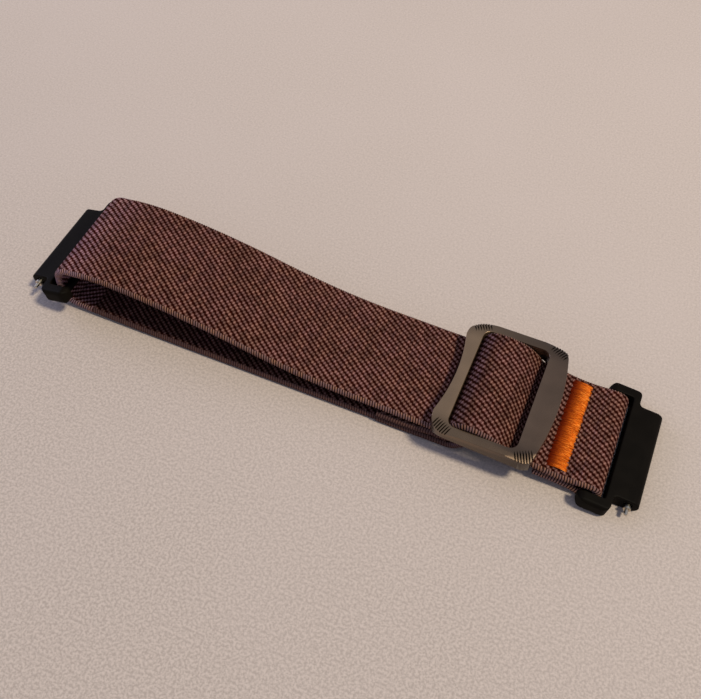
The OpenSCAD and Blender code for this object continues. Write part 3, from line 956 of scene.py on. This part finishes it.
def rgb(r, g, b):
    return (r, g, b, 1.0)


def scaled(colour, level):
    return rgb(*(part * level for part in colour))


def new_group(name, inputs, outputs):
    """An empty node group with sockets as {name: kind}. Returns it, its wiring and its two ends."""
    group = bpy.data.node_groups.new(name, "ShaderNodeTree")
    for way, sockets in (("INPUT", inputs), ("OUTPUT", outputs)):
        for label, kind in sockets.items():
            group.interface.new_socket(label, in_out=way, socket_type=kind)
    wires = Wiring(group)
    return group, wires, wires.node("NodeGroupInput"), wires.node("NodeGroupOutput")


FLOAT = "NodeSocketFloat"
VECTOR = "NodeSocketVector"
# The selvage's pattern begins this far before and ends this far past the place where it starts.
SELVAGE_BEFORE = 0.05
SELVAGE_PAST = 0.15
# Where the middle of a stitch may lie in its row
STITCH_FIRST = 0.44
STITCH_LAST = 0.56


def twill_group():
    """Threads of a two-over-one twill with a ribbed selvage, from a place along and across the band."""
    group, w, given, result = new_group(
        "twill_threads", {"Along": FLOAT, "Across": FLOAT}, {"Cover": FLOAT, "Tone": FLOAT, "Selvage": FLOAT}
    )
    along, across = given.outputs["Along"], given.outputs["Across"]
    column = w.math("DIVIDE", along, COLUMN)
    n = w.math("FLOOR", column)
    in_column = w.math("SUBTRACT", w.math("SUBTRACT", column, n), 0.5)
    row = w.math("ADD", w.math("DIVIDE", across, ROW), w.math("DIVIDE", n, TWILL))
    m = w.math("FLOOR", row)
    seat = w.node("ShaderNodeCombineXYZ", {"X": n, "Y": m})
    chance = w.node("ShaderNodeTexWhiteNoise", {"Vector": seat.outputs[0]}, noise_dimensions="2D")
    draw = w.node("ShaderNodeSeparateColor", {0: chance.outputs["Color"]}).outputs["Green"]
    middle = w.line(draw, 0, 1, STITCH_FIRST, STITCH_LAST)
    in_row = w.math("SUBTRACT", w.math("SUBTRACT", row, m), middle)
    dx = w.math("MULTIPLY", in_column, COLUMN)
    dy = w.math("MULTIPLY", in_row, ROW)
    cos, sin = math.cos(STITCH_TILT), math.sin(STITCH_TILT)
    long = w.math("ADD", w.math("MULTIPLY", dx, cos), w.math("MULTIPLY", dy, sin))
    short = w.math("SUBTRACT", w.math("MULTIPLY", dy, cos), w.math("MULTIPLY", dx, sin))
    stitch = w.dome(w.math("DIVIDE", long, STITCH_LONG), w.math("DIVIDE", short, STITCH_SHORT))
    lean = w.math("ADD", in_row, w.math("DIVIDE", in_column, TWILL))
    ridge = w.math("MULTIPLY", w.dome(w.math("DIVIDE", lean, RIDGE)), RIDGE_HEIGHT)
    bead = w.math("MAXIMUM", stitch, ridge)
    ribs = w.math("ADD", w.math("DIVIDE", column, RIB_PITCH), w.math("MULTIPLY", across, RIB_SLANT))
    in_rib = w.math("SUBTRACT", w.math("SUBTRACT", ribs, w.math("FLOOR", ribs)), 0.5)
    rib = w.math("MULTIPLY", w.dome(w.math("DIVIDE", in_rib, RIB)), RIB_HEIGHT)
    selvage = w.ramp(w.math("ABSOLUTE", across), SELVAGE - SELVAGE_BEFORE, SELVAGE + SELVAGE_PAST)
    share = w.math("MULTIPLY", w.math("SUBTRACT", rib, bead), selvage)
    w.feed(result.inputs["Cover"], w.math("ADD", bead, share))
    w.feed(result.inputs["Tone"], chance.outputs["Value"])
    w.feed(result.inputs["Selvage"], selvage)
    return group


def grain_group():
    """Fine grain and soft patches, for moulded and coated surfaces."""
    group, w, given, result = new_group(
        "fine_grain", {"Place": VECTOR, "Grain": FLOAT, "Patch": FLOAT}, {"Grain": FLOAT, "Patch": FLOAT}
    )
    place = given.outputs["Place"]
    w.feed(result.inputs["Grain"], w.noise(place, given.outputs["Grain"], 3.0, 0.6))
    w.feed(result.inputs["Patch"], w.noise(place, given.outputs["Patch"], 2.0, 0.5))
    return group


def new_material(name):
    """A material with one shader. Returns it, its wiring, its shader and the place in millimetres."""
    material = bpy.data.materials.new(name)
    material.use_nodes = True
    tree = material.node_tree
    tree.nodes.clear()
    w = Wiring(tree)
    shader = w.node("ShaderNodeBsdfPrincipled")
    w.node("ShaderNodeOutputMaterial", {"Surface": shader.outputs[0]})
    where = w.node("ShaderNodeTexCoord").outputs["Object"]
    solid = w.node("ShaderNodeVectorMath", {0: where, 1: (1 / MM,) * 3}, operation="MULTIPLY").outputs[0]
    return material, w, shader, solid


def roughen(w, shader, height, strength, distance):
    """Fine relief from a height, with the distance in metres."""
    bump = w.node("ShaderNodeBump", {"Height": height, "Strength": strength, "Distance": distance})
    w.feed(shader.inputs["Normal"], bump.outputs[0])


# Webbing colours: in the gaps between threads, darkened as painted shade, on the threads, and on their
# crests, paled as painted highlight; the selvage's and the amber's colours below work the same way
GAP = (0.0190, 0.0018, 0.0004)
THREAD = (0.087, 0.031, 0.023)
CREST = (0.238, 0.124, 0.102)
EDGE_GAP = (0.018, 0.005, 0.003)
EDGE_CREST = (0.200, 0.110, 0.100)
AMBER_GAP = rgb(0.014, 0.003, 0.001)
AMBER_CREST = rgb(0.33, 0.150, 0.075)
WARM = rgb(1.0, 1.0, 0.92)
COOL = rgb(1.0, 0.985, 1.06)
COOL_LIGHT_TINT = rgb(1.35, 1.5, 2.0)
# How much paler a selvage's gaps are where the whole piece takes painted shade
FAINT = (0.1, 0.05, 0.05)
# Share of a thread's height at which one colour gives way to the next
TO_THREAD = (0.10, 0.70)
TO_CREST = (0.62, 1.05)
TO_EDGE_CREST = (0.15, 0.95)
TO_AMBER_CREST = (0.2, 0.9)
# Noises, each with its scale per millimetre, detail and roughness
PATCHES = (0.16, 3.0, 0.6)
HUES = (0.2, 2.0, 0.6)
AMBER_SPOTS = (0.9, 2.0, 0.5)
FIBRES = (14.0, 2.0, 0.6)
# Most amber of a selvage, in the open and in the shade
AMBER = 0.55
SHADED_AMBER = 0.12
# Levels of painted shade on the pieces that lie under others, and on the hump's low left side
SHADED = 0.7
FLANK_SHADE = 0.45
# Lean to the left, as the X of its normal, over which a face turns purple with painted cool light
COOL_LIGHT_LEAN = (-0.03, -0.6)


def webbing_material(name, twill, mapped, amber_share=AMBER, flank=1.0, face=1.0):
    """Dark maroon webbing. mapped reads the piece's own map, else the pattern lies in the object's X and Y.

    amber_share is the most amber that a selvage takes, flank the level of painted shade on the hump's low
    left side, and face the level of painted shade on the whole piece.
    """
    material, w, shader, solid = new_material(name)
    spot = w.parts(solid)
    place = spot
    if mapped:
        place = w.parts(w.node("ShaderNodeUVMap", uv_map="weave").outputs[0])
    threads = w.grouped(twill, {"Along": place["X"], "Across": place["Y"]})
    cover, tone, selvage = (threads[k] for k in ("Cover", "Tone", "Selvage"))
    # Gaps darken with painted shade and crests pale with painted highlight, over the threads' own pattern
    colour = w.blend(w.ramp(cover, *TO_THREAD), scaled(GAP, face), scaled(THREAD, face))
    colour = w.blend(w.ramp(cover, *TO_CREST), colour, scaled(CREST, face))
    patch = w.line(w.noise(solid, *PATCHES), 0.3, 0.7, -0.12, 0.12)
    colour = w.times(colour, w.grey(w.math("ADD", w.line(tone, 0, 1, 0.66, 1.30), patch)))
    colour = w.times(colour, w.blend(w.ramp(w.noise(solid, *HUES), 0.35, 0.65), WARM, COOL))
    # With face below 1 the selvage takes painted shade too: darker crests and paler gaps
    edge_gap = rgb(*(part + (1 - face) * more for part, more in zip(EDGE_GAP, FAINT)))
    edge = w.blend(w.ramp(cover, *TO_EDGE_CREST), edge_gap, scaled(EDGE_CREST, face ** 2))
    amber = w.blend(w.ramp(cover, *TO_AMBER_CREST), AMBER_GAP, AMBER_CREST)
    edge = w.blend(w.ramp(w.noise(solid, *AMBER_SPOTS), 0.42, 0.62, 0, amber_share), edge, amber)
    colour = w.blend(selvage, colour, edge)
    # Painted cool light, purple and brighter, on faces that lean to the left
    normal = w.parts(w.node("ShaderNodeTexCoord").outputs["Normal"])
    share = w.ramp(normal["X"], *COOL_LIGHT_LEAN)
    # Pieces in the open also take painted cool light on the band's left end
    if amber_share > SHADED_AMBER:
        share = w.math("MAXIMUM", share, w.ramp(spot["X"], TURN_CUT + 5, TURN_X))
    colour = w.times(colour, w.blend(share, WHITE, COOL_LIGHT_TINT))
    # Painted shade on the hump's low left flank, fading out to the right
    if flank < 1:
        colour = w.times(colour, w.grey(w.ramp(spot["X"], WINDOW_X0 + 1.2, WINDOW_X0 + 5.8, flank, 1.0)))
    w.feed(shader.inputs["Base Color"], colour)
    w.feed(shader.inputs["Roughness"], w.line(cover, 0, 1, 0.92, 0.66))
    shader.inputs["Specular IOR Level"].default_value = 0.03
    fibres = w.math("MULTIPLY", w.noise(solid, *FIBRES), 0.12)
    roughen(w, shader, w.math("ADD", cover, fibres), 0.85, 0.00012)
    return material


# Thread colours: of the painted highlight on the crests, of the end in painted light and of the end in
# painted shade
ORANGE = rgb(1.0, 0.33, 0.045), rgb(0.93, 0.175, 0.006), rgb(0.125, 0.010, 0.001)
BROWN = rgb(0.13, 0.055, 0.042), rgb(0.09, 0.034, 0.024), rgb(0.030, 0.009, 0.006)


def satin_material(name, colours, grain, x0, x1):
    """Satin thread that goes from painted shade at x0 to painted light near x1, with painted highlights on
    its crests.
    """
    crest_highlight, bright, dark = colours
    material, w, shader, solid = new_material(name)
    marks = w.grouped(grain, {"Place": solid, "Grain": 3.0, "Patch": 0.6})
    stretched = w.node("ShaderNodeVectorMath", {0: solid, 1: (0.9, 10.0, 0.5)}, operation="MULTIPLY")
    fibre = w.noise(stretched.outputs[0], 1.0, 3.0, 0.7)
    ragged = w.math("ADD", w.parts(solid)["X"], w.line(fibre, 0.2, 0.8, -0.45, 0.45))
    # Painted light across the satin: dark at x0, bright near x1, dark again at its ragged far edge
    across = w.line(ragged, x0, x1)
    lit = w.math("MULTIPLY", w.ramp(across, 0.06, 0.92), w.ramp(across, 1.02, 0.88))
    lit = w.math("MULTIPLY", lit, w.ramp(fibre, 0.34, 0.57, 0.25, 1.0))
    lit = w.math("MULTIPLY", lit, w.ramp(marks["Patch"], 0.3, 0.7, 0.75, 1.0))
    # Painted highlight on the fibres' crests where the satin is lit
    crest = w.math("MULTIPLY", w.ramp(fibre, 0.50, 0.68), w.ramp(across, 0.35, 0.8))
    w.feed(shader.inputs["Base Color"], w.blend(crest, w.blend(lit, dark, bright), crest_highlight))
    w.feed(shader.inputs["Roughness"], w.line(fibre, 0, 1, 0.38, 0.55))
    shader.inputs["Specular IOR Level"].default_value = 0.04
    roughen(w, shader, fibre, 0.8, 0.00012)
    return material


# Hard surfaces: scales of grain and patches, range of roughness, strength and depth in metres of the relief,
# levels that are the same all over, and two colours
GUNMETAL = {
    "grain": 6.0, "patch": 0.22, "rough": (0.24, 0.34), "relief": (0.12, 0.00004),
    "even": {"Metallic": 0.75, "Coat Weight": 0.3, "Coat Roughness": 0.14},
    # colours: the left bar's, paler with painted light, and the right bar's
    "colours": ((0.315, 0.204, 0.118), (0.140, 0.088, 0.056)),
}
PLASTIC = {
    "grain": 5.0, "patch": 0.3, "rough": (0.46, 0.60), "relief": (0.35, 0.00005),
    "even": {"Specular IOR Level": 0.04},
    "colours": (rgb(0.0042, 0.0030, 0.0020), rgb(0.0056, 0.0041, 0.0028)),
}
STEEL = {
    "grain": 9.0, "patch": 0.8, "rough": (0.22, 0.36), "relief": None, "even": {"Metallic": 1.0},
    "colours": (rgb(0.44, 0.38, 0.30), rgb(0.64, 0.57, 0.47)),
}
# Level of the painted shade in the facets' grooves
GROOVE_SHADE_LEVEL = 0.3


def hard_material(name, kind, grain):
    """A grained material. Returns what new_material does, and the soft patches."""
    material, w, shader, solid = new_material(name)
    marks = w.grouped(grain, {"Place": solid, "Grain": kind["grain"], "Patch": kind["patch"]})
    w.feed(shader.inputs["Roughness"], w.line(marks["Grain"], 0.2, 0.8, *kind["rough"]))
    for label, level in kind["even"].items():
        shader.inputs[label].default_value = level
    if kind["relief"]:
        roughen(w, shader, marks["Grain"], *kind["relief"])
    return material, w, shader, solid, marks["Patch"]


def gunmetal_material(name, level, grain):
    """Gunmetal with painted light that pales the left bar, and painted shade below its top and on the long
    rails.
    """
    material, w, shader, solid, patch = hard_material(name, GUNMETAL, grain)
    place = w.parts(solid)
    left, right = (scaled(colour, level) for colour in GUNMETAL["colours"])
    # Painted light: paler towards the left bar
    left_lit_colour = w.blend(w.ramp(place["X"], FRAME_X0, FRAME_X1), left, right)
    patch_and_shade = w.line(patch, 0.3, 0.7, 0.9, 1.1)
    # Painted shade below the top and on the long rails, over the soft patches
    patch_and_shade = w.math("MULTIPLY", patch_and_shade, w.ramp(place["Z"], FRAME_Z1 - 1.4, FRAME_Z1 - 0.3, 0.6, 1.0))
    aside = w.math("ABSOLUTE", place["Y"])
    patch_and_shade = w.math("MULTIPLY", patch_and_shade, w.ramp(aside, SLOT_HALF - 3, SLOT_HALF + 0.5, 1.0, 0.60))
    w.feed(shader.inputs["Base Color"], w.times(left_lit_colour, w.grey(patch_and_shade)))
    return material


def plastic_material(grain):
    material, w, shader, _, patch = hard_material("black_moulded_plastic", PLASTIC, grain)
    w.feed(shader.inputs["Base Color"], w.blend(w.ramp(patch, 0.3, 0.7), *PLASTIC["colours"]))
    return material


def steel_material(grain):
    material, w, shader, _, patch = hard_material("turned_steel", STEEL, grain)
    w.feed(shader.inputs["Base Color"], w.blend(patch, *STEEL["colours"]))
    return material


FLOOR_DARK = rgb(0.470, 0.386, 0.338)
FLOOR_PALE = rgb(0.648, 0.536, 0.474)
FLOOR_ROSE = rgb(0.640, 0.530, 0.490)


def floor_material():
    """Pale speckled table top, coarser towards -Y and darker there with painted light fall-off."""
    material, w, shader, solid = new_material("pale_floor")
    speck = w.noise(solid, 2.2, 3.0, 0.7)
    patch = w.noise(solid, 0.02, 2.0, 0.5)
    depth = w.parts(solid)["Y"]
    grain = w.math("MULTIPLY", w.math("SUBTRACT", speck, 0.5), w.ramp(depth, -70, 40, 3.6, 1.2))
    colour = w.blend(w.line(grain, -0.3, 0.3), FLOOR_DARK, FLOOR_PALE)
    colour = w.blend(w.ramp(patch, 0.35, 0.65, 0, 0.12), colour, FLOOR_ROSE)
    # Painted light fall-off: darker towards -Y
    w.feed(shader.inputs["Base Color"], w.times(colour, w.grey(w.ramp(depth, -80, 110, 0.81, 0.965))))
    shader.inputs["Roughness"].default_value = 0.8
    roughen(w, shader, speck, 0.25, 0.0002)
    return material


# Floor and light

KEY_LIGHT = {"place": (0.57, -0.05, 1.0), "size": 0.32, "power": 33.0, "colour": (1.0, 0.92, 0.71)}
FILL_LIGHT = {"place": (-0.92, 0.1, 0.36), "size": 1.2, "power": 14.0, "colour": (0.66, 0.68, 1.0)}
LIGHT_AWAY = 2.0
FLOOR_SIZE = 4
SKY = rgb(0.64, 0.72, 0.95)
SKY_STRENGTH = 0.45


def soft_light(name, kind):
    """A round lamp that looks at the strap from the direction of its place, with sizes in metres."""
    ahead = Vector(kind["place"]).normalized()
    bpy.ops.object.light_add(type="AREA")
    lamp = named(name)
    lamp.data.shape = "DISK"
    lamp.data.size = kind["size"]
    lamp.data.energy = kind["power"]
    lamp.data.color = kind["colour"]
    turn = ahead.to_track_quat("Z", "Y").to_matrix().to_4x4()
    lamp.matrix_world = Matrix.Translation(ahead * LIGHT_AWAY) @ turn


def make_stage():
    nothing_selected()
    bpy.ops.mesh.primitive_plane_add(size=FLOOR_SIZE)
    floor = named("floor")
    wear(floor, floor_material())
    soft_light("key_light", KEY_LIGHT)
    soft_light("fill_light", FILL_LIGHT)
    world = bpy.data.worlds.new("soft_sky")
    bpy.context.scene.world = world
    world.use_nodes = True
    sky = world.node_tree.nodes["Background"]
    sky.inputs["Color"].default_value = SKY
    sky.inputs["Strength"].default_value = SKY_STRENGTH
    bpy.context.scene.view_settings.view_transform = "Standard"


# The strap

# The body that each stretch rides on. single_run rides on none.
BODIES = {
    "end_fold": "fixed_end", "buckle_hump": "buckle", "sewn_loop": "buckle", "left_turn": "folded_end",
    "upper_run": "buckle", "lower_run": "buckle", "single_run": None,
}


def finished(piece, node, body, slot_name, *materials):
    if materials:
        wear(piece, *materials)
    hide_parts(node)
    if body:
        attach(piece, body)


def dress_band(twill):
    """The band in its webbing, with the two long runs given meshes of their own."""
    mapped = webbing_material("webbing_mapped", twill, True)
    flat = webbing_material("webbing_flat", twill, False)
    # The lower run and the sewn loop are copies with painted shade, and the hump has painted shade on its
    # left flank
    shaded = webbing_material("webbing_lower", twill, False, SHADED_AMBER, face=SHADED)
    bent = webbing_material("webbing_hump", twill, True, flank=FLANK_SHADE)
    stacked = webbing_material("webbing_loop", twill, True, SHADED_AMBER, face=SHADED)
    cloths = {
        "upper_run": flat, "single_run": flat, "lower_run": shaded, "buckle_hump": bent, "sewn_loop": stacked,
    }
    band = make_band(make_path())
    for name, piece in band.items():
        finished(piece, name, BODIES[name], "webbing", cloths.get(name, mapped))
    for name, x0 in (("upper_run", LINE[ENDS["upper_run"][0]][0]), ("lower_run", TAIL_END)):
        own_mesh(band[name])
    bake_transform(band["single_run"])


def dress_stitching(grain):
    """The bartack on both faces of the fold, and the seam of the sewn loop."""
    orange = satin_material("orange_satin", ORANGE, grain, BARTACK_X0, BARTACK_X1)
    brown = satin_material("maroon_thread", BROWN, grain, SEAM_X1 - SEAM_WIDTH, SEAM_X1)
    top = [band_face(x, 1, "end_fold") + HALF for x in (BARTACK_X0, BARTACK_X1)]
    under = [band_face(x, -1, "end_fold") - HALF for x in (BARTACK_X0, BARTACK_X1)]
    over = satin("satin_over", BARTACK_X0, BARTACK_X1, *top, **OVER)
    below = satin("satin_under", BARTACK_X0, BARTACK_X1, *under, **UNDER)
    finished(joined(over, below), "orange_bartack", "fixed_end", "satin_thread", orange)
    seam_z = HALF + LAYER + HALF
    seam = satin("loop_seam", SEAM_X1 - SEAM_WIDTH, SEAM_X1, seam_z, seam_z, **SEAM)
    finished(seam, "loop_stitching", "buckle", "seam_thread", brown)


def laid_at(x, z, tilt):
    return Matrix.Translation(Vector((x, 0, z)) * MM) @ Matrix.Rotation(tilt, 4, "Y")


def dress_adapters(plastic):
    """One moulded adapter, laid at each end of the strap."""
    adapter = make_adapter()
    right = laid_at(RIGHT_RING_X, RIGHT_RING_Z, RIGHT_TILT)
    left = laid_at(LEFT_RING_X, LEFT_RING_Z, -LEFT_TILT) @ Matrix.Rotation(math.pi, 4, "Z")
    for name, place in (("right_adapter", right), ("left_adapter", left)):
        finished(copy_of(adapter, "moulded_" + name, place), name, name + "_body", "black_plastic", plastic)
    bpy.data.objects.remove(adapter, do_unlink=True)


def make_strap():
    grain = grain_group()
    gunmetal = gunmetal_material("gunmetal_satin", 1.0, grain)
    # The facets' grooves are painted in shade
    shaded_groove_metal = gunmetal_material("painted_groove_shade", GROOVE_SHADE_LEVEL, grain)
    steel = steel_material(grain)
    dress_band(twill_group())
    dress_stitching(grain)
    finished(make_buckle(gunmetal, shaded_groove_metal), "buckle_frame", "buckle", "gunmetal")
    dress_adapters(plastic_material(grain))
    for name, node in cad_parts.items():
        if "_bar_" in name:
            wear(node, steel)
        elif name == "centre_bar":
            wear(node, gunmetal)


make_camera()
make_stage()
make_strap()
nothing_selected()
